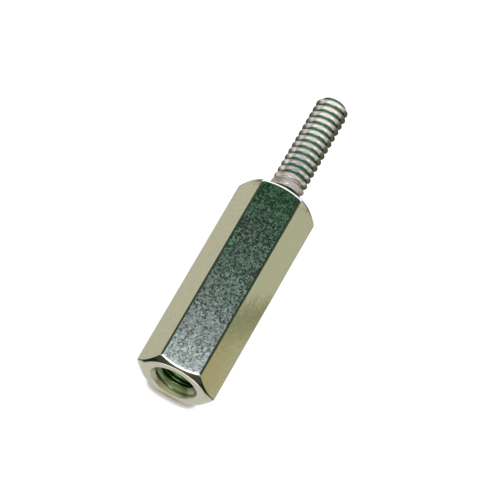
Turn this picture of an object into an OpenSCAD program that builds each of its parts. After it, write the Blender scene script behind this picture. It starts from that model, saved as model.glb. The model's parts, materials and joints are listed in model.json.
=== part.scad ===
// A male-female hex standoff: a chamfered length of hexagon bar with a tapped hole
// in one end and a threaded stud turned on the other.
// It lies on one flat with its axis along +X, and the origin is the centre of the
// end face that the tapped hole opens in.

/* [Hex body] */
// Width of the hexagon across its flats
across_flats = 6; // [5:0.1:12]
// Length of the hex body, from the end face to the shoulder
body_length = 18.5; // [14:0.5:60]
// Cut that the drawn bar's long corners lose, measured in from the sharp corner
corner_break = 0.03; // [0.01:0.01:0.1]
// How far the end chamfers run in from the flats, on the end face and the shoulder
chamfer_inset = 0.24; // [0.05:0.01:0.5]
// Angle of the end chamfers, measured from the end face
chamfer_angle = 30; // [15:1:45]

/* [Stud] */
// Outer diameter of the stud's screw thread
thread_diameter = 2.82; // [2:0.01:4]
// Distance from one turn of the stud's thread to the next
thread_pitch = 0.635; // [0.4:0.005:0.8]
// Length of the stud, from the shoulder to its tip
stud_length = 10.2; // [5:0.1:25]
// Angle of the tip's leading chamfer, measured from the axis
tip_chamfer_angle = 45; // [20:1:60]

/* [Tapped hole] */
// Drilled diameter of the hole, which leaves the inner edge of its thread
tap_drill_diameter = 2.7; // [1.6:0.05:3.4]
// Depth of the drilled hole at its full diameter
hole_depth = 11; // [6:0.5:14]
// Full angle of the drill's point
drill_point_angle = 118; // [90:1:140]
// Diameter of the countersink at the mouth of the hole
countersink_diameter = 4.2; // [3.6:0.1:4.6]
// Full angle of the countersink
countersink_angle = 90; // [60:1:120]

/* [Hidden] */
$fn = 96;

// Depth of a 60 degree unified thread, from crest to root, for a pitch of one
UNIFIED_THREAD_DEPTH = 17 / 24 * cos(30);
// Length by which a tool runs past the face that it cuts, or a turned end into its body
overrun = 1;

end_face_radius = across_flats / 2 - chamfer_inset;
sharp_corner_radius = across_flats / 2 / cos(30);
broken_corner_radius = sharp_corner_radius - corner_break;
chamfer_depth = (broken_corner_radius - end_face_radius) * tan(chamfer_angle);

thread_radius = thread_diameter / 2;
thread_depth = UNIFIED_THREAD_DEPTH * thread_pitch;
tip_radius = thread_radius - thread_depth;
tip_chamfer_length = thread_depth / tan(tip_chamfer_angle);

hole_radius = tap_drill_diameter / 2;
drill_point_length = hole_radius / tan(drill_point_angle / 2);
countersink_radius = countersink_diameter / 2;
countersink_depth = (countersink_radius - hole_radius) / tan(countersink_angle / 2);

// Turns a shape that stands along Z so that it lies along X.
module along_x() {
    rotate([0, 90, 0]) children();
}

// The drawn bar, with a flat facing up and a flat facing down once it lies along X.
module hexagon_bar() {
    linear_extrude(body_length)
        rotate(30) circle(r = sharp_corner_radius, $fn = 6);
}

// The round form that the lathe leaves standing: both end chamfers, and the broken corners.
module turned_envelope() {
    rotate_extrude()
        polygon([
            [0, 0],
            [end_face_radius, 0],
            [broken_corner_radius, chamfer_depth],
            [broken_corner_radius, body_length - chamfer_depth],
            [end_face_radius, body_length],
            [0, body_length],
        ]);
}

// The hex body, where the chamfer cones cut the six flats in curved scallops.
module hex_body() {
    intersection() {
        hexagon_bar();
        turned_envelope();
    }
}

// The stud at its thread's outer diameter, with a leading chamfer that runs in to the thread's root.
module stud() {
    stud_tip = body_length + stud_length;
    rotate_extrude()
        polygon([
            [0, body_length - overrun],
            [thread_radius, body_length - overrun],
            [thread_radius, stud_tip - tip_chamfer_length],
            [tip_radius, stud_tip],
            [0, stud_tip],
        ]);
}

// The space of the tapped hole: the drill's point, its straight wall and the countersink.
module tapped_hole() {
    mouth_radius = countersink_radius + overrun * tan(countersink_angle / 2);
    rotate_extrude()
        polygon([
            [0, -overrun],
            [mouth_radius, -overrun],
            [hole_radius, countersink_depth],
            [hole_radius, hole_depth],
            [0, hole_depth + drill_point_length],
        ]);
}

module hex_standoff() {
    color([0.66, 0.63, 0.53])
        along_x()
            difference() {
                union() {
                    hex_body();
                    stud();
                }
                tapped_hole();
            }
}

hex_standoff();
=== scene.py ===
"""A zinc-plated male-female hex standoff, lying on a white table under soft studio light."""
import json
import math

import bmesh
import bpy
from mathutils import Matrix, Vector


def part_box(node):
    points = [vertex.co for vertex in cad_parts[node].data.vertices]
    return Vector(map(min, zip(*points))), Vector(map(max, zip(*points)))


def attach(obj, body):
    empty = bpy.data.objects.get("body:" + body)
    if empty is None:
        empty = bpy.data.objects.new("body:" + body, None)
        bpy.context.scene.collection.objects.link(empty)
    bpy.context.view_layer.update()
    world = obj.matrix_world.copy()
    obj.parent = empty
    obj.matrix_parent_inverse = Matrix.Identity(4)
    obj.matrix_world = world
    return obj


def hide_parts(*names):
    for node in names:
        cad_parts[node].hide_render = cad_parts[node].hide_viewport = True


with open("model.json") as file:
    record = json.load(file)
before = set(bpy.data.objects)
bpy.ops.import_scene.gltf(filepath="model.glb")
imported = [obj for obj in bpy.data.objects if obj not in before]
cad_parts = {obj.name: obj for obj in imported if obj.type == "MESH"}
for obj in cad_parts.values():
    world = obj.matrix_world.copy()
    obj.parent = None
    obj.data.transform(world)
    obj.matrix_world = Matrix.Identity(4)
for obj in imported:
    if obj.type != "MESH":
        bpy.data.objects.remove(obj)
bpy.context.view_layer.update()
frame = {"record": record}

MM = 0.001

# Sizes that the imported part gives
mounts = {mount["name"]: mount for mount in frame["record"]["mounts"]}
lowest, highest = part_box("hex_standoff")
half_width = (highest.z - lowest.z) / 2
table_height = lowest.z
tip_place = highest.x
shoulder_place = mounts["shoulder"]["pos_m"][0]
stud_radius = mounts["stud"]["dims"]["r_mm"] * MM
drill_radius = mounts["tapped_hole"]["dims"]["r_mm"] * MM

# Hexagon bar and its turned ends
END_FACE_RADIUS = 2.76 * MM
CHAMFER_ANGLE = math.radians(30)
BAR_CORNER_RADIUS = 0.25 * MM
FACE_EDGE_ROUNDING = 0.1 * MM
FLAT_EDGE_ROUNDING = 0.09 * MM
SHOULDER_EDGE_ROUNDING = 0.2 * MM
FACE_SUPPORT = 0.05 * MM
CORNER_BLEND = 0.015 * MM

# Threads: flanks at 30 degrees, and how far crests, roots and run-outs are rounded, as a share of the depth
FLANK_SLOPE = math.tan(math.radians(30))
CREST_SOFTNESS = 0.02
ROOT_SOFTNESS = 0.15
RUN_OUT_SOFTNESS = 0.3

# How much a thread's rows crowd towards crest and root, and the shares of its depth that get painted shade
# there
ROW_CROWDING = 0.6
CREST_SHADE_SHARE = 0.15
ROOT_SHADE_SHARES = (0.68, 0.94)

# Stud, with the places along it measured from the shoulder
PITCH = 0.635 * MM
THREAD_DEPTH = 17 / 24 * math.cos(math.radians(30)) * PITCH
STUD_CREST_FLAT = PITCH / 30
STUD_FIRST_CREST = 2.0 * MM
RUN_OUT_FROM = 0.3 * MM
RUN_OUT_TO = 0.9 * MM
STUD_BASE_ROUNDING = 0.08 * MM
# The stud's base gets painted shade, which ends between these places
BASE_SHADE_FROM = 0.85 * MM
BASE_SHADE_TO = 1.05 * MM
# The stud's first turns, up to these places, have lighter plating, partly painted light, and less painted
# shade in their roots
COLLAR_FROM = 1.75 * MM
COLLAR_TO = 2.1 * MM
TIP_EDGE_ROUNDING = 0.03 * MM

# Tapped hole, with the places along it measured from the end face
TAPPED_PITCH = 0.794 * MM
TAPPED_MAJOR_RADIUS = 1.75 * MM
TAPPED_FIRST_GROOVE = 0.55 * MM
TAPPED_CREST_FLAT = 0.2 * MM
TAPPED_DEPTH = 9.4 * MM
TAPPED_FADE = 1.0 * MM
HOLE_DEPTH = 11 * MM
DRILL_POINT_LENGTH = drill_radius / math.tan(math.radians(118) / 2)
COUNTERSINK_RADIUS = 2.1 * MM
COUNTERSINK_SLOPE = math.tan(math.radians(45))
RIM_ROUNDING = 0.05 * MM
# Painted shade deep in the hole begins and is full at these places
HOLE_SHADE_FROM = 0.26 * MM
HOLE_SHADE_TO = 0.72 * MM

# Finish of the plated steel, with painted shade and painted highlights among its colours
PLATING = (0.386, 0.373, 0.23, 1)
TURNED_PLATING = (0.46, 0.45, 0.345, 1)
# The thread's pinkish plating is lighter than the bar's, partly as painted light on its flanks, and the
# collar's lighter still
THREAD_PLATING_AND_LIGHT = (0.85, 0.78, 0.77, 1)
# Painted highlight on edge roundings that lie level
EDGE_PAINTED_HIGHLIGHT = (0.85, 0.84, 0.80, 1)
COLLAR_PLATING_AND_LIGHT = (0.92, 0.81, 0.75, 1)
# The hole's plating is darker, as painted shade
BORE_PAINTED_SHADE = (0.4, 0.37, 0.26, 1)
# Painted shade on the long corners, the crests, the roots, the stud's base and deep in the hole
CORNER_PAINTED_SHADE = (0.09, 0.12, 0.075, 1)
CREST_PAINTED_SHADE = (0.12, 0.12, 0.07, 1)
ROOT_PAINTED_SHADE = (0.03, 0.11, 0.05, 1)
BASE_PAINTED_SHADE = (0.075, 0.1, 0.075, 1)
HOLE_PAINTED_SHADE = (0.08, 0.14, 0.05, 1)
FLAT_ROUGHNESS = 0.07
CLOUD_ROUGHNESS = 0.04
TURNED_ROUGHNESS = 0.12
THREAD_ROUGHNESS = 0.28
BORE_ROUGHNESS = 0.3
COLLAR_ROUGHNESS = 0.45
# How much of the painted root shade the collar takes away
COLLAR_SHADE_EASING = 0.7
GRAIN_SIZE = 0.14 * MM
GRAIN_SMOOTHNESS = 0.12
GRAIN_TILT = 0.08
GRAIN_COLOUR_SHARE = 0.06
CLOUD_SIZE = 2 * MM
CLOUD_DETAIL = 3.0

# Edges between a chamfer and a flat get a painted highlight where they face up or down, by the upward share
# of their normal
LEVEL_EDGE = (0.5, 0.6)

# Table: as the camera sees it, and as the metal mirrors it, with painted light and shade in the zones below
SEEN_TABLE = (1.2, 1.2, 1.2, 1)
LIT_TABLE = (1.0, 1.0, 1.0, 1)
DARK_TABLE = (0.02, 0.04, 0.025, 1)
STUD_SHADE = (0.07, 0.09, 0.045, 1)
OUTER_TABLE = (0.5, 0.52, 0.48, 1)
FRONT_TABLE = (0.1, 0.11, 0.08, 1)
RIGHT_TABLE = (0.97, 1.0, 0.98, 1)
WARM_SHADE = (0.86, 0.81, 0.61, 1)
WARM_LEAST = 0.35
SHADE_BAND = (0.54, 0.57, 0.47, 1)
BRIGHT_FRONT = (3.0, 3.0, 3.2, 1)
PAPER = (0.8, 0.8, 0.8, 1)
TABLE_GLOW = 0.75
TABLE_REACH = 2.0
CONTACT_TINT = (0.36, 0.32, 0.25, 1)
CONTACT_REACH = 0.5 * MM
CONTACT_SHARES = (0.6, 0.95)
CONTACT_SAMPLES = 8

# Zones of the mirrored table in millimetres: where each one begins, and where it has its full share
POOL_FRONT = (-9, -7.5)
POOL_BACK = (33, 27)
POOL_SIDES = (50, 20)
WING_FRONT = (1, -0.5)
WING_SIDES = (5, 5.6)
SHADE_FRONT = (17, 19)
SHADE_SIDES = (7, 5.5)
WIDE_SHADE_FRONT = (22.4, 23.6)
WIDE_SHADE_SIDES = (12, 9)
SHADE_BACK = (37, 34.5)
RIGHT_SIDE = (-4, -6)
WARM_SIDES = (-9.5, -12.5)
DULL_FRONT = (8.5, 12.2)
DULL_BACK = (14.8, 12.3)
BRIGHT_BACK = (-4.2, -4.8)
BRIGHT_SIDES = (3.6, 2.8)
OUTER_RING = (40, 70)
PAST_STUD = (35, 39)
PAST_FACE = (-9, -13)

# Room: white to the camera, and else with pale walls, at heights given as the upward share of a direction
SEEN_ROOM = (1.0, 1.0, 1.0, 1)
DIM_ROOM = (0.012, 0.035, 0.03, 1)
ROOM_WALLS = (0.5, 0.52, 0.5, 1)
WALL_RISE = (0.02, 0.25)
WALL_TOP = (0.72, 0.83)

# Row of strip lights over the hexagon, in millimetres, which get dimmer, narrower and tinted towards the stud
OVERHEAD_STRIPS = 16
OVERHEAD_HEIGHT = 40
OVERHEAD_ASIDE = 3
OVERHEAD_LENGTH = 40
OVERHEAD_START = -8
OVERHEAD_STEP = 4
OVERHEAD_FALL = 6.2
FULL_UNTIL = 13
NARROW_FROM = 31
BRIGHT_ROW = (1.68, 1.74, 3.05)
DIM_ROW = (0.045, 0.128, 0.095)
WIDE_COVER = 0.92
NARROW_COVER = 0.32
STRIP_TINTS = ((1.3, 0.93, 1.15), (0.72, 1.06, 0.87))
TINT_POWER = 3

# Camera as fitted to the photograph, with its place and its aim in millimetres
CAMERA_PLACE = (-121.15, -21.42, 274.33)
CAMERA_AIM = (11.08, -0.33, 4.87)
CAMERA_UP = (0.7916, 0.4733, 0.3866)
CAMERA_LENS = 275.8
CAMERA_SENSOR = 36

# Columns of faces round the axis, so that every ring has as many points, and the steps between rings
SIDES = 6
CORNER_STEPS = 8
FLAT_SHARES = (-1, -0.97, -0.85, -0.68, -0.48, -0.25, 0, 0.25, 0.48, 0.68, 0.85, 0.97, 1)
COLUMNS = SIDES * (CORNER_STEPS + len(FLAT_SHARES) - 1)
STUD_ROWS = 20
TAPPED_ROWS = 12
WALL_SHARES = (0.02, 0.25, 0.5, 0.75, 0.98)
FACE_EDGE_STEPS = 5
FLAT_EDGE_STEPS = 6
SMALL_EDGE_STEPS = 4
TIP_FACE_SHARES = (0.92, 0.6, 0.3)
DRILL_CONE_SHARES = (1, 0.97, 0.6, 0.25)

# Turned rings of a bar end: one on its face, those of the face's rounded edge, and the cone's last one
END_RINGS = FACE_EDGE_STEPS + 3

# Distances within which points are merged and slivers go
STRIP_WELD = 0.002 * MM
PIECE_WELD = 0.001 * MM
SLIVER = 0.0005 * MM


class Sketch:
    """Adds nodes to a tree, so that a formula reads as one line for each step."""

    def __init__(self, tree):
        self.tree = tree

    def node(self, kind, **settings):
        node = self.tree.nodes.new(kind)
        for name, value in settings.items():
            setattr(node, name, value)
        return node

    def join(self, socket, value):
        """Links an output to a socket, or sets the socket to a plain value."""
        if isinstance(value, bpy.types.NodeSocket):
            self.tree.links.new(value, socket)
        else:
            socket.default_value = value

    def fill(self, node, **inputs):
        """Sets a node's inputs by name, where an underscore stands for a space."""
        for name, value in inputs.items():
            self.join(node.inputs[name.replace("_", " ")], value)
        return node

    def math(self, operation, *values, clamp=False):
        node = self.node("ShaderNodeMath", operation=operation, use_clamp=clamp)
        for socket, value in zip(node.inputs, values):
            self.join(socket, value)
        return node.outputs[0]

    def vector(self, operation, *values, scale=None):
        node = self.node("ShaderNodeVectorMath", operation=operation)
        for socket, value in zip(node.inputs, values):
            self.join(socket, value)
        if scale is not None:
            self.join(node.inputs["Scale"], scale)
        return node.outputs["Vector"]

    def ramp(self, value, first, last, at_first, at_last):
        """A straight ramp from one value to another, held level at both ends."""
        node = self.node("ShaderNodeMapRange")
        self.fill(node, Value=value, From_Min=first, From_Max=last, To_Min=at_first, To_Max=at_last)
        return node.outputs[0]

    def mix(self, share, first, second, **settings):
        """A blend of two colours, each given as an output or as a plain colour."""
        node = self.node("ShaderNodeMix", data_type="RGBA", **settings)
        # The node has sockets for every data type, and these are the ones for colours
        for place, value in ((0, share), (6, first), (7, second)):
            self.join(node.inputs[place], value)
        return node.outputs[2]


def thread_tree():
    """A helical strip that is wrapped into a screw thread along X, for a stud or for a hole."""
    tree = bpy.data.node_groups.new("screw_thread", "GeometryNodeTree")
    sizes = ("Pitch", "Crest Radius", "Groove Depth", "Crest Flat", "Strip Start", "Start", "End",
             "Fade From", "Fade To", "Mouth Place", "Mouth Radius", "Mouth Slope", "Worn",
             "Dark From", "Dark To")
    for name in sizes:
        tree.interface.new_socket(name, in_out="INPUT", socket_type="NodeSocketFloat")
    for name in ("Columns", "Rows"):
        tree.interface.new_socket(name, in_out="INPUT", socket_type="NodeSocketInt")
    tree.interface.new_socket("Finish", in_out="INPUT", socket_type="NodeSocketMaterial")
    tree.interface.new_socket("Geometry", in_out="OUTPUT", socket_type="NodeSocketGeometry")
    sketch = Sketch(tree)
    math_node = sketch.math
    given = sketch.node("NodeGroupInput").outputs

    # A flat grid: turns of the helix along its X, and one pitch of the profile along its Y
    reach = math_node("SUBTRACT", given["End"], given["Strip Start"])
    turns = math_node("CEIL", math_node("DIVIDE", reach, given["Pitch"]))
    steps = math_node("MULTIPLY_ADD", turns, given["Columns"], 1.0)
    rows = math_node("ADD", given["Rows"], 1.0)
    grid = sketch.fill(sketch.node("GeometryNodeMeshGrid"), Size_X=1.0, Size_Y=1.0,
                       Vertices_X=steps, Vertices_Y=rows)
    place = sketch.node("ShaderNodeSeparateXYZ")
    sketch.join(place.inputs[0], sketch.node("GeometryNodeInputPosition").outputs[0])
    turn = math_node("MULTIPLY", math_node("ADD", place.outputs["X"], 0.5), turns)
    even = math_node("ADD", place.outputs["Y"], 0.5)

    # Rows crowd towards the crest and the root, where the profile bends
    wave = math_node("SINE", math_node("MULTIPLY", even, 4 * math.pi))
    across = math_node("MULTIPLY_ADD", wave, -ROW_CROWDING / (4 * math.pi), even)
    along = math_node("MULTIPLY_ADD", math_node("ADD", turn, across), given["Pitch"], given["Strip Start"])
    x = math_node("MINIMUM", math_node("MAXIMUM", along, given["Start"]), given["End"])

    # Share of the groove's depth: none on the crest, all of it at the root, and straight flanks between
    travel = math_node("DIVIDE", math_node("SUBTRACT", x, given["Strip Start"]), given["Pitch"])
    phase = math_node("FRACT", math_node("SUBTRACT", travel, turn))
    off_crest = math_node("ABSOLUTE", math_node("SUBTRACT", phase, 0.5))
    from_crest = math_node("MULTIPLY", off_crest, given["Pitch"])
    flank = math_node("MULTIPLY", math_node("ABSOLUTE", given["Groove Depth"]), FLANK_SLOPE)
    past_crest = math_node("MULTIPLY_ADD", given["Crest Flat"], -0.5, from_crest)
    straight = math_node("DIVIDE", past_crest, flank)
    groove = math_node("SMOOTH_MAX", straight, 0.0, CREST_SOFTNESS)
    groove = math_node("SMOOTH_MIN", groove, 1.0, ROOT_SOFTNESS)
    fade_reach = math_node("SUBTRACT", given["Fade To"], given["Fade From"])
    fade = math_node("DIVIDE", math_node("SUBTRACT", x, given["Fade From"]), fade_reach, clamp=True)
    fade = math_node("SMOOTH_MIN", fade, 1.0, RUN_OUT_SOFTNESS)
    depth_share = math_node("MULTIPLY", groove, fade)
    # The stud's thread is marked near its crest for painted shade
    near_crest = math_node("MULTIPLY_ADD", groove, -1 / CREST_SHADE_SHARE, 1.0, clamp=True)
    crest = math_node("MULTIPLY", math_node("MULTIPLY", near_crest, fade), given["Worn"])

    # The mouth's cone trims the thread: from outside on a stud, from inside in a hole
    radius = math_node("MULTIPLY_ADD", given["Groove Depth"], depth_share, given["Crest Radius"])
    from_mouth = math_node("SUBTRACT", x, given["Mouth Place"])
    cone = math_node("MULTIPLY_ADD", from_mouth, given["Mouth Slope"], given["Mouth Radius"])
    side = math_node("SIGN", given["Groove Depth"])
    trimmed = math_node("MAXIMUM", math_node("MULTIPLY", radius, side), math_node("MULTIPLY", cone, side))
    radius = math_node("MULTIPLY", trimmed, side)
    angle = math_node("MULTIPLY", turn, 2 * math.pi)
    point = sketch.node("ShaderNodeCombineXYZ")
    sketch.join(point.inputs["X"], x)
    sketch.join(point.inputs["Y"], math_node("MULTIPLY", radius, math_node("COSINE", angle)))
    sketch.join(point.inputs["Z"], math_node("MULTIPLY", radius, math_node("SINE", angle)))

    # The hole is marked for painted shade from these places inwards
    dark_reach = math_node("SUBTRACT", given["Dark To"], given["Dark From"])
    inside = math_node("DIVIDE", math_node("SUBTRACT", x, given["Dark From"]), dark_reach, clamp=True)
    bored = math_node("SUBTRACT", 1.0, given["Worn"])
    marks = {"groove": depth_share, "crest": crest, "worn": given["Worn"], "inside": inside,
             "bored": bored, "turned": 1.0}
    marked = grid.outputs["Mesh"]
    for name, value in marks.items():
        store = sketch.node("GeometryNodeStoreNamedAttribute", data_type="FLOAT", domain="POINT")
        marked = sketch.fill(store, Geometry=marked, Name=name, Value=value).outputs[0]
    wrap = sketch.fill(sketch.node("GeometryNodeSetPosition"), Geometry=marked, Position=point.outputs[0])
    weld = sketch.fill(sketch.node("GeometryNodeMergeByDistance"), Geometry=wrap.outputs[0],
                       Distance=STRIP_WELD)
    real = sketch.fill(sketch.node("GeometryNodeRealizeInstances"), Geometry=weld.outputs[0])
    finish = sketch.fill(sketch.node("GeometryNodeSetMaterial"), Geometry=real.outputs[0],
                         Material=given["Finish"])
    sketch.join(sketch.node("NodeGroupOutput").inputs[0], finish.outputs[0])
    return tree


def thread_mesh(tree, **sizes):
    """Runs the thread's tree with these sizes, and returns the result as a plain mesh."""
    sockets = {item.name: item.identifier for item in tree.interface.items_tree if item.in_out == "INPUT"}
    carrier = bpy.data.objects.new("thread_carrier", bpy.data.meshes.new("thread_carrier"))
    bpy.context.scene.collection.objects.link(carrier)
    modifier = carrier.modifiers.new("screw_thread", "NODES")
    modifier.node_group = tree
    for name, value in sizes.items():
        modifier[sockets[name.replace("_", " ")]] = value
    evaluated = carrier.evaluated_get(bpy.context.evaluated_depsgraph_get())
    mesh = bpy.data.meshes.new_from_object(evaluated)
    bpy.data.objects.remove(carrier)
    return mesh


def strip_start(crest, start):
    """Where the strip has to begin for a crest to pass through a place on the +Y side."""
    back = math.ceil((crest - start) / PITCH + 0.5)
    return crest - (back + 0.5) * PITCH


def stud_thread(tree, finish):
    """The thread that is cut into the stud, from its run-out near the shoulder to the tip's chamfer."""
    # Only the hole has painted shade inside, so here that zone lies past the tip
    return thread_mesh(
        tree, Pitch=PITCH, Crest_Radius=stud_radius, Groove_Depth=TIP_EDGE_ROUNDING - THREAD_DEPTH,
        Crest_Flat=STUD_CREST_FLAT,
        Strip_Start=strip_start(shoulder_place + STUD_FIRST_CREST, shoulder_place),
        Start=shoulder_place + STUD_BASE_ROUNDING, End=tip_place - TIP_EDGE_ROUNDING,
        Fade_From=shoulder_place + RUN_OUT_FROM, Fade_To=shoulder_place + RUN_OUT_TO,
        Mouth_Place=tip_place, Mouth_Radius=stud_radius - THREAD_DEPTH, Mouth_Slope=-1.0,
        Worn=1.0, Dark_From=2 * tip_place, Dark_To=3 * tip_place,
        Columns=COLUMNS, Rows=STUD_ROWS, Finish=finish)


def hole_thread(tree, finish):
    """The thread that is cut into the hole's wall, from the countersink to where the tap stopped."""
    return thread_mesh(
        tree, Pitch=TAPPED_PITCH, Crest_Radius=drill_radius,
        Groove_Depth=TAPPED_MAJOR_RADIUS - drill_radius,
        Crest_Flat=TAPPED_CREST_FLAT, Strip_Start=TAPPED_FIRST_GROOVE - 2 * TAPPED_PITCH,
        Start=RIM_ROUNDING, End=TAPPED_DEPTH,
        Fade_From=TAPPED_DEPTH, Fade_To=TAPPED_DEPTH - TAPPED_FADE,
        Mouth_Place=0.0, Mouth_Radius=COUNTERSINK_RADIUS, Mouth_Slope=-COUNTERSINK_SLOPE,
        Worn=0.0, Dark_From=HOLE_SHADE_FROM, Dark_To=HOLE_SHADE_TO,
        Columns=COLUMNS, Rows=TAPPED_ROWS, Finish=finish)


def bar_flat_half():
    """Half the width of a flat between the bar's rounded corners."""
    return (half_width - BAR_CORNER_RADIUS) * math.tan(math.pi / SIDES)


def bar_outline():
    """The hexagon bar's section with its rounded corners, as (y, z) points from +Y towards +Z."""
    flat_half = bar_flat_half()
    corner_centre = (half_width - BAR_CORNER_RADIUS) / math.cos(math.pi / SIDES)
    half_steps = CORNER_STEPS // 2

    def corner_point(corner, facing):
        centre = 2 * math.pi / SIDES * corner
        return (corner_centre * math.cos(centre) + BAR_CORNER_RADIUS * math.cos(facing),
                corner_centre * math.sin(centre) + BAR_CORNER_RADIUS * math.sin(facing))

    points = []
    for side in range(SIDES):
        facing = math.pi / SIDES * (2 * side + 1)
        normal = Vector((math.cos(facing), math.sin(facing)))
        turn = math.pi / SIDES / half_steps
        for step in range(half_steps):
            points.append(corner_point(side, facing - (half_steps - step) * turn))
        for share in FLAT_SHARES:
            points.append(tuple(half_width * normal + share * flat_half * normal.orthogonal()))
        for step in range(1, half_steps):
            points.append(corner_point(side + 1, facing + step * turn))
    return points


def rounded(corner, before, after, steps):
    """Points of a curve that rounds a corner between a point before it and a point after it."""
    corner, before, after = Vector(corner), Vector(before), Vector(after)
    shares = [step / steps for step in range(steps + 1)]
    return [before * (1 - t) ** 2 + corner * 2 * t * (1 - t) + after * t ** 2 for t in shares]


def end_profile(bar_radius, wall_rounding):
    """A bar end's outline through the axis, as (depth, radius) from the end face to the wall."""
    slope = math.tan(CHAMFER_ANGLE)
    along_cone = Vector((math.sin(CHAMFER_ANGLE), math.cos(CHAMFER_ANGLE)))
    face_edge = Vector((0, END_FACE_RADIUS))
    flat_edge = Vector(((bar_radius - END_FACE_RADIUS) * slope, bar_radius))
    on_face = face_edge - Vector((0, FACE_EDGE_ROUNDING))
    on_wall = flat_edge + Vector((wall_rounding, 0))
    return [
        on_face - Vector((0, FACE_SUPPORT)),
        *rounded(face_edge, on_face, face_edge + along_cone * FACE_EDGE_ROUNDING, FACE_EDGE_STEPS),
        *rounded(flat_edge, flat_edge - along_cone * FLAT_EDGE_ROUNDING, on_wall, FLAT_EDGE_STEPS),
    ]


def circle_ring(x, radius):
    """Points round the axis, one for each column."""
    angles = [2 * math.pi * column / COLUMNS for column in range(COLUMNS)]
    return [(x, radius * math.cos(angle), radius * math.sin(angle)) for angle in angles]


def bar_rings():
    """Rings of points over the bar, from the end face to the shoulder."""
    columns = []
    for y, z in bar_outline():
        reach = math.hypot(y, z)
        near = end_profile(reach, FLAT_EDGE_ROUNDING)
        far_profile = end_profile(reach, SHOULDER_EDGE_ROUNDING)
        far = [(shoulder_place - depth, radius) for depth, radius in reversed(far_profile)]
        wall_start, wall_end = near[-1][0], far[0][0]
        wall = [(wall_start + (wall_end - wall_start) * share, reach) for share in WALL_SHARES]
        columns.append([(x, y * radius / reach, z * radius / reach) for x, radius in near + wall + far])
    return [list(ring) for ring in zip(*columns)]


def rim_rings():
    """The edge break between the countersink and the end face."""
    on_cone = (RIM_ROUNDING, COUNTERSINK_RADIUS - RIM_ROUNDING * COUNTERSINK_SLOPE)
    on_face = (0, COUNTERSINK_RADIUS + RIM_ROUNDING)
    edge = rounded((0, COUNTERSINK_RADIUS), on_cone, on_face, SMALL_EDGE_STEPS)
    support = (0, COUNTERSINK_RADIUS + RIM_ROUNDING + FACE_SUPPORT)
    return [circle_ring(x, radius) for x, radius in [*edge, support]]


def stud_base_rings():
    """The rounding between the shoulder and the stud."""
    on_face = (shoulder_place, stud_radius + STUD_BASE_ROUNDING)
    on_stud = (shoulder_place + STUD_BASE_ROUNDING, stud_radius)
    edge = rounded((shoulder_place, stud_radius), on_face, on_stud, SMALL_EDGE_STEPS)
    support = (shoulder_place, stud_radius + STUD_BASE_ROUNDING + FACE_SUPPORT)
    return [circle_ring(x, radius) for x, radius in [support, *edge]]


def tip_rings():
    """The stud's end face, from its edge break to a small ring round the axis."""
    tip_radius = stud_radius - THREAD_DEPTH
    on_cone = (tip_place - TIP_EDGE_ROUNDING, tip_radius + TIP_EDGE_ROUNDING)
    on_face = (tip_place, tip_radius - TIP_EDGE_ROUNDING)
    edge = rounded((tip_place, tip_radius), on_cone, on_face, SMALL_EDGE_STEPS)
    face = [(tip_place, tip_radius * share) for share in TIP_FACE_SHARES]
    return [circle_ring(x, radius) for x, radius in [*edge, *face]]


def drill_end_rings():
    """The plain drilled wall past the thread, and the cone that the drill's point leaves."""
    wall = [(TAPPED_DEPTH, drill_radius), (HOLE_DEPTH - FACE_SUPPORT, drill_radius)]
    cone = [(HOLE_DEPTH + DRILL_POINT_LENGTH * (1 - share), drill_radius * share)
            for share in DRILL_CONE_SHARES]
    return [circle_ring(x, radius) for x, radius in wall + cone]


def skin(mesh, rings, marks, apex=None):
    """Faces between neighbouring rings, and a fan from the last ring to an apex where one is given.

    The marks are the values of some point attributes, as a list with one value for each ring.
    """
    layers = {name: mesh.verts.layers.float[name] for name in marks}
    loops = []
    for row, ring in enumerate(rings):
        loops.append([mesh.verts.new(point) for point in ring])
        for vertex in loops[-1]:
            for name, layer in layers.items():
                vertex[layer] = marks[name][row]
    for ring, following in zip(loops, loops[1:]):
        for here, there in zip(range(COLUMNS), [*range(1, COLUMNS), 0]):
            mesh.faces.new((ring[here], ring[there], following[there], following[here]))
    if apex:
        peak = mesh.verts.new(apex)
        for name, layer in layers.items():
            peak[layer] = marks[name][-1]
        last = loops[-1]
        for here, there in zip(range(COLUMNS), [*range(1, COLUMNS), 0]):
            mesh.faces.new((last[here], last[there], peak))


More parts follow.
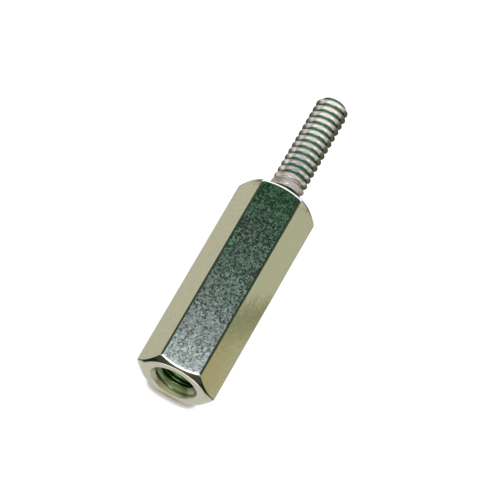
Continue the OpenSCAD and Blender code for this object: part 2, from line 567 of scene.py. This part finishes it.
def standoff_piece(finish):
    """The whole standoff as one closed mesh: the bar, the tapped hole and the threaded stud."""
    tree = thread_tree()
    shape = bmesh.new()
    for thread in (stud_thread(tree, finish), hole_thread(tree, finish)):
        shape.from_mesh(thread)
    shape.verts.layers.float.new("edge")

    # Every ring from the hole's rim to the stud's base is turned, apart from the bar's drawn flats
    rim = rim_rings()
    bar = bar_rings()
    base = stud_base_rings()
    before = len(rim) + END_RINGS
    drawn = len(bar) - 2 * END_RINGS
    after = END_RINGS + len(base)
    rounding = FLAT_EDGE_STEPS - 1
    # The roundings at both ends of the drawn flats are marked for a painted highlight
    edge_marks = [1] * rounding + [0] * (drawn - 2 * rounding) + [1] * rounding
    skin(shape, rim + bar + base, {
        "turned": [1] * before + [0] * drawn + [1] * after,
        "edge": [0] * before + edge_marks + [0] * after,
    })
    tip = tip_rings()
    skin(shape, tip, {"turned": [1] * len(tip)}, apex=(tip_place, 0, 0))
    # The drilled end lies all within the hole's painted shade
    drilled = drill_end_rings()
    bore = [1] * len(drilled)
    skin(shape, drilled, {"turned": bore, "inside": bore, "bored": bore},
         apex=(HOLE_DEPTH + DRILL_POINT_LENGTH, 0, 0))

    bmesh.ops.remove_doubles(shape, verts=shape.verts, dist=PIECE_WELD)
    bmesh.ops.dissolve_degenerate(shape, edges=shape.edges, dist=SLIVER)
    bmesh.ops.recalc_face_normals(shape, faces=shape.faces)
    for face in shape.faces:
        face.smooth = True
    mesh = bpy.data.meshes.new("plated_standoff")
    shape.to_mesh(mesh)
    shape.free()
    mesh.materials.clear()
    mesh.materials.append(finish)
    piece = bpy.data.objects.new("plated_standoff", mesh)
    bpy.context.scene.collection.objects.link(piece)
    return piece


def plated_steel():
    """Zinc-plated steel: grainy on the drawn flats, smooth where turned, with painted shade in the thread's
    grooves and other painted shade and highlights.
    """
    material = bpy.data.materials.new("plated_steel")
    material.use_nodes = True
    tree = material.node_tree
    tree.nodes.clear()
    sketch = Sketch(tree)
    place = sketch.node("ShaderNodeTexCoord").outputs["Object"]
    grain = sketch.fill(sketch.node("ShaderNodeTexVoronoi", feature="SMOOTH_F1"), Vector=place,
                        Scale=1 / GRAIN_SIZE, Smoothness=GRAIN_SMOOTHNESS)
    cloud = sketch.fill(sketch.node("ShaderNodeTexNoise"), Vector=place,
                        Scale=1 / CLOUD_SIZE, Detail=CLOUD_DETAIL)
    groove, crest, worn, turned, inside, bored, edge = [
        sketch.node("ShaderNodeAttribute", attribute_name=name).outputs["Fac"]
        for name in ("groove", "crest", "worn", "turned", "inside", "bored", "edge")]

    # Where painted shade goes: on a long corner, on the stud's base, and in a root, where it is eased on the
    # stud's lighter first turns
    from_axis = sketch.node("ShaderNodeVectorMath", operation="LENGTH")
    sketch.join(from_axis.inputs[0], sketch.vector("MULTIPLY", place, (0.0, 1.0, 1.0)))
    corner_start = math.hypot(half_width, bar_flat_half())
    corner = sketch.ramp(from_axis.outputs["Value"], corner_start, corner_start + CORNER_BLEND, 0.0, 1.0)
    along = sketch.node("ShaderNodeSeparateXYZ")
    sketch.join(along.inputs[0], place)
    past_shoulder = sketch.math("SUBTRACT", along.outputs["X"], shoulder_place)
    base = sketch.math("MULTIPLY", worn, sketch.ramp(past_shoulder, BASE_SHADE_FROM, BASE_SHADE_TO, 1.0, 0.0))
    collar = sketch.math("MULTIPLY", worn, sketch.ramp(past_shoulder, COLLAR_FROM, COLLAR_TO, 1.0, 0.0))
    root_shade_left = sketch.math("MULTIPLY_ADD", collar, -COLLAR_SHADE_EASING, 1.0)
    root = sketch.math("MULTIPLY", root_shade_left, sketch.ramp(groove, *ROOT_SHADE_SHARES, 0.0, 1.0))
    normal = sketch.node("ShaderNodeNewGeometry").outputs["Normal"]
    upright = sketch.node("ShaderNodeSeparateXYZ")
    sketch.join(upright.inputs[0], normal)
    # Painted highlight on edge roundings that face up or down
    level = sketch.ramp(sketch.math("ABSOLUTE", upright.outputs["Z"]), *LEVEL_EDGE, 0.0, 1.0)
    painted_edge_highlight = sketch.math("MULTIPLY", edge, level)

    plating = sketch.mix(turned, PLATING, TURNED_PLATING)
    # Below: painted shade in the bore, on long corners, crests, roots, the stud's base and deep in the hole,
    # a painted highlight on level edges, and thread plating that is partly painted light
    plating = sketch.mix(bored, plating, BORE_PAINTED_SHADE)
    plating = sketch.mix(corner, plating, CORNER_PAINTED_SHADE)
    plating = sketch.mix(painted_edge_highlight, plating, EDGE_PAINTED_HIGHLIGHT)
    plating = sketch.mix(worn, plating, THREAD_PLATING_AND_LIGHT)
    plating = sketch.mix(collar, plating, COLLAR_PLATING_AND_LIGHT)
    plating = sketch.mix(crest, plating, CREST_PAINTED_SHADE)
    plating = sketch.mix(sketch.math("MULTIPLY", root, worn), plating, ROOT_PAINTED_SHADE)
    plating = sketch.mix(base, plating, BASE_PAINTED_SHADE)
    hole_shade = sketch.math("MAXIMUM", inside, sketch.math("MULTIPLY", root, bored))
    plating = sketch.mix(hole_shade, plating, HOLE_PAINTED_SHADE)
    plating = sketch.mix(GRAIN_COLOUR_SHARE, plating, grain.outputs["Color"], blend_type="OVERLAY")

    roughness = sketch.math("MULTIPLY_ADD", cloud.outputs["Fac"], CLOUD_ROUGHNESS, FLAT_ROUGHNESS)
    for mask, value in ((turned, TURNED_ROUGHNESS), (worn, THREAD_ROUGHNESS), (bored, BORE_ROUGHNESS),
                        (collar, COLLAR_ROUGHNESS)):
        step = sketch.math("MULTIPLY", mask, sketch.math("SUBTRACT", value, roughness))
        roughness = sketch.math("ADD", roughness, step)

    # Each grain of the drawn flats tilts the surface its own way
    grainy = sketch.math("SUBTRACT", 1.0, sketch.math("MAXIMUM", turned, edge), clamp=True)
    tilt = sketch.vector("SUBTRACT", grain.outputs["Color"], (0.5, 0.5, 0.5))
    tilt = sketch.vector("SCALE", tilt, scale=sketch.math("MULTIPLY", grainy, GRAIN_TILT))
    facing = sketch.vector("NORMALIZE", sketch.vector("ADD", normal, tilt))
    metal = sketch.fill(sketch.node("ShaderNodeBsdfPrincipled"), Metallic=1.0, Roughness=roughness,
                        Base_Color=plating, Normal=facing)
    output = sketch.node("ShaderNodeOutputMaterial")
    sketch.join(output.inputs["Surface"], metal.outputs[0])
    return material


def table():
    """A white table top, which the metal mirrors as a painted pool of light on dark ground, lighter further
    out.
    """
    material = bpy.data.materials.new("white_table")
    material.use_nodes = True
    tree = material.node_tree
    tree.nodes.clear()
    sketch = Sketch(tree)
    ray = sketch.node("ShaderNodeLightPath").outputs
    place = sketch.node("ShaderNodeTexCoord").outputs["Object"]
    split = sketch.node("ShaderNodeSeparateXYZ")
    sketch.join(split.inputs[0], place)
    x = split.outputs["X"]
    y = split.outputs["Y"]
    beside = sketch.math("ABSOLUTE", y)
    from_part = sketch.node("ShaderNodeVectorMath", operation="LENGTH")
    sketch.join(from_part.inputs[0], place)

    def zone(*edges):
        """The share of the table within all of these edges, each of them a distance and its zone."""
        share = 1.0
        for distance, (begins, full) in edges:
            share = sketch.math("MULTIPLY", share, sketch.ramp(distance, begins * MM, full * MM, 0.0, 1.0))
        return share

    # The painted pool of light, which leaves out a dark wing of painted shade on each side of the tapped end
    pool = zone((x, POOL_FRONT), (x, POOL_BACK), (beside, POOL_SIDES))
    wing = zone((x, WING_FRONT), (beside, WING_SIDES))
    pool = sketch.math("MULTIPLY", pool, sketch.math("SUBTRACT", 1.0, wing))
    # Right side: a warm tint of painted shade and a band of painted shade; in front of the end face, a strip
    # of painted light
    right = zone((y, RIGHT_SIDE))
    warm = sketch.ramp(y, WARM_SIDES[0] * MM, WARM_SIDES[1] * MM, WARM_LEAST, 1.0)
    warm = sketch.math("MULTIPLY", warm, zone((y, RIGHT_SIDE), (x, DULL_BACK)))
    dull = zone((y, RIGHT_SIDE), (x, DULL_FRONT), (x, DULL_BACK))
    bright = zone((x, BRIGHT_BACK), (beside, BRIGHT_SIDES))
    lit = sketch.mix(right, LIT_TABLE, RIGHT_TABLE)
    for share, tint in ((warm, WARM_SHADE), (dull, SHADE_BAND), (bright, BRIGHT_FRONT)):
        lit = sketch.mix(share, lit, tint)

    # The dark table round the pool, which gets lighter further out, and the painted shade under the stud
    outer = sketch.math("MAXIMUM", zone((from_part.outputs["Value"], OUTER_RING)), zone((x, PAST_STUD)))
    around = sketch.mix(zone((x, PAST_FACE)), DARK_TABLE, FRONT_TABLE)
    around = sketch.mix(outer, around, OUTER_TABLE)
    shade = zone((x, SHADE_FRONT), (beside, SHADE_SIDES))
    wide_shade = zone((x, WIDE_SHADE_FRONT), (beside, WIDE_SHADE_SIDES))
    shade = sketch.math("MULTIPLY", sketch.math("MAXIMUM", shade, wide_shade), zone((x, SHADE_BACK)))
    mirrored = sketch.mix(shade, sketch.mix(pool, around, lit), STUD_SHADE)

    # The contact shadow, on the table as the camera sees it and as the metal mirrors it
    plain = sketch.math("MAXIMUM", ray["Is Camera Ray"], ray["Is Transmission Ray"])
    colour = sketch.mix(plain, mirrored, SEEN_TABLE)
    contact = sketch.node("ShaderNodeAmbientOcclusion", samples=CONTACT_SAMPLES)
    sketch.fill(contact, Distance=CONTACT_REACH)
    open_share = sketch.ramp(contact.outputs["AO"], *CONTACT_SHARES, 0.0, 1.0)
    shadowed = sketch.mix(1.0, colour, CONTACT_TINT, blend_type="MULTIPLY")
    colour = sketch.mix(open_share, shadowed, colour)
    strength = sketch.math("MAXIMUM", plain, ray["Is Glossy Ray"])
    glow = sketch.fill(sketch.node("ShaderNodeEmission"), Color=colour, Strength=strength)
    paper = sketch.fill(sketch.node("ShaderNodeBsdfDiffuse"), Color=PAPER)
    blend = sketch.node("ShaderNodeMixShader")
    sketch.join(blend.inputs[0], sketch.math("MAXIMUM", TABLE_GLOW, ray["Is Glossy Ray"]))
    sketch.join(blend.inputs[1], paper.outputs[0])
    sketch.join(blend.inputs[2], glow.outputs[0])
    output = sketch.node("ShaderNodeOutputMaterial")
    sketch.join(output.inputs["Surface"], blend.outputs[0])

    mesh = bpy.data.meshes.new("table_top")
    corners = [(TABLE_REACH * along, TABLE_REACH * across, table_height)
               for along, across in ((-1, -1), (1, -1), (1, 1), (-1, 1))]
    mesh.from_pydata(corners, [], [(0, 1, 2, 3)])
    mesh.materials.append(material)
    top = bpy.data.objects.new("table_top", mesh)
    bpy.context.scene.collection.objects.link(top)


def soft_box(name, place, target, size, radiance, colour=(1, 1, 1)):
    """A flat soft light, with its place, target and size in millimetres, and the brightness of its face."""
    light = bpy.data.lights.new(name, "AREA")
    light.shape = "RECTANGLE"
    light.size = size[0] * MM
    light.size_y = size[1] * MM
    light.energy = radiance * math.pi * light.size * light.size_y
    light.color = colour
    lamp = bpy.data.objects.new(name, light)
    lamp.location = Vector(place) * MM
    lamp.rotation_euler = (Vector(target) - Vector(place)).to_track_quat("-Z", "Y").to_euler()
    lamp.visible_camera = False
    bpy.context.scene.collection.objects.link(lamp)


def studio():
    """Soft lights over the table, in a room with pale walls under a dim ceiling."""
    world = bpy.data.worlds.new("studio")
    world.use_nodes = True
    tree = world.node_tree
    tree.nodes.clear()
    sketch = Sketch(tree)
    ray = sketch.node("ShaderNodeLightPath").outputs
    heading = sketch.node("ShaderNodeSeparateXYZ")
    sketch.join(heading.inputs[0], sketch.node("ShaderNodeTexCoord").outputs["Generated"])
    height = heading.outputs["Z"]
    walls = sketch.math("MULTIPLY", sketch.ramp(height, *WALL_RISE, 0.0, 1.0),
                        sketch.ramp(height, *WALL_TOP, 1.0, 0.0))
    colour = sketch.mix(walls, DIM_ROOM, ROOM_WALLS)
    colour = sketch.mix(ray["Is Camera Ray"], colour, SEEN_ROOM)
    room = sketch.fill(sketch.node("ShaderNodeBackground"), Color=colour, Strength=1.0)
    sketch.join(sketch.node("ShaderNodeOutputWorld").inputs["Surface"], room.outputs[0])
    bpy.context.scene.world = world

    for strip in range(OVERHEAD_STRIPS):
        middle = OVERHEAD_START + strip * OVERHEAD_STEP
        past = max(middle - FULL_UNTIL, 0)
        narrowed = min(past / (NARROW_FROM - FULL_UNTIL), 1)
        cover = WIDE_COVER + (NARROW_COVER - WIDE_COVER) * narrowed
        colour = Vector(BRIGHT_ROW) * math.exp(-past / OVERHEAD_FALL) + Vector(DIM_ROW)
        colour *= Vector((1, 1, 1)).lerp(Vector(STRIP_TINTS[strip % 2]), narrowed ** TINT_POWER)
        place = (middle, OVERHEAD_ASIDE, OVERHEAD_HEIGHT)
        target = (middle, OVERHEAD_ASIDE, 0)
        size = (OVERHEAD_STEP * cover, OVERHEAD_LENGTH)
        soft_box(f"overhead_strip_{strip}", place, target, size, max(colour) / cover, colour / max(colour))
    soft_box("camera_box", place=(-55, 8, 107), target=(0, 0, 3), size=(95, 95), radiance=4.0,
             colour=(0.95, 0.96, 1.0))
    soft_box("front_card", place=(-95, 7, 25), target=(0, 0, 0), size=(320, 56), radiance=0.34,
             colour=(1.0, 0.84, 0.44))
    soft_box("stud_box", place=(48, 2, 12), target=(48, 2, 0), size=(40, 40), radiance=1.32)
    soft_box("left_card", place=(35, 16, 7), target=(35, 0, 7), size=(20, 20), radiance=0.4)
    soft_box("right_card", place=(35, -16, 7), target=(35, 0, 7), size=(20, 20), radiance=0.45)


def photo_camera():
    """A camera at the photograph's viewing angle, with a long lens."""
    place = Vector(CAMERA_PLACE) * MM
    aim = Vector(CAMERA_AIM) * MM
    back = (place - aim).normalized()
    right = Vector(CAMERA_UP).cross(back).normalized()
    upward = back.cross(right)
    data = bpy.data.cameras.new("photo_camera")
    data.sensor_width = CAMERA_SENSOR
    data.lens = CAMERA_LENS
    data.clip_start = 1 * MM
    data.clip_end = 10
    camera = bpy.data.objects.new("photo_camera", data)
    camera.matrix_world = Matrix((right, upward, back)).transposed().to_4x4()
    camera.location = place
    bpy.context.scene.collection.objects.link(camera)
    bpy.context.scene.camera = camera


bpy.context.scene.view_settings.view_transform = "Standard"
photo_camera()
standoff = standoff_piece(plated_steel())
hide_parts("hex_standoff")
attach(standoff, "root")
table()
studio()
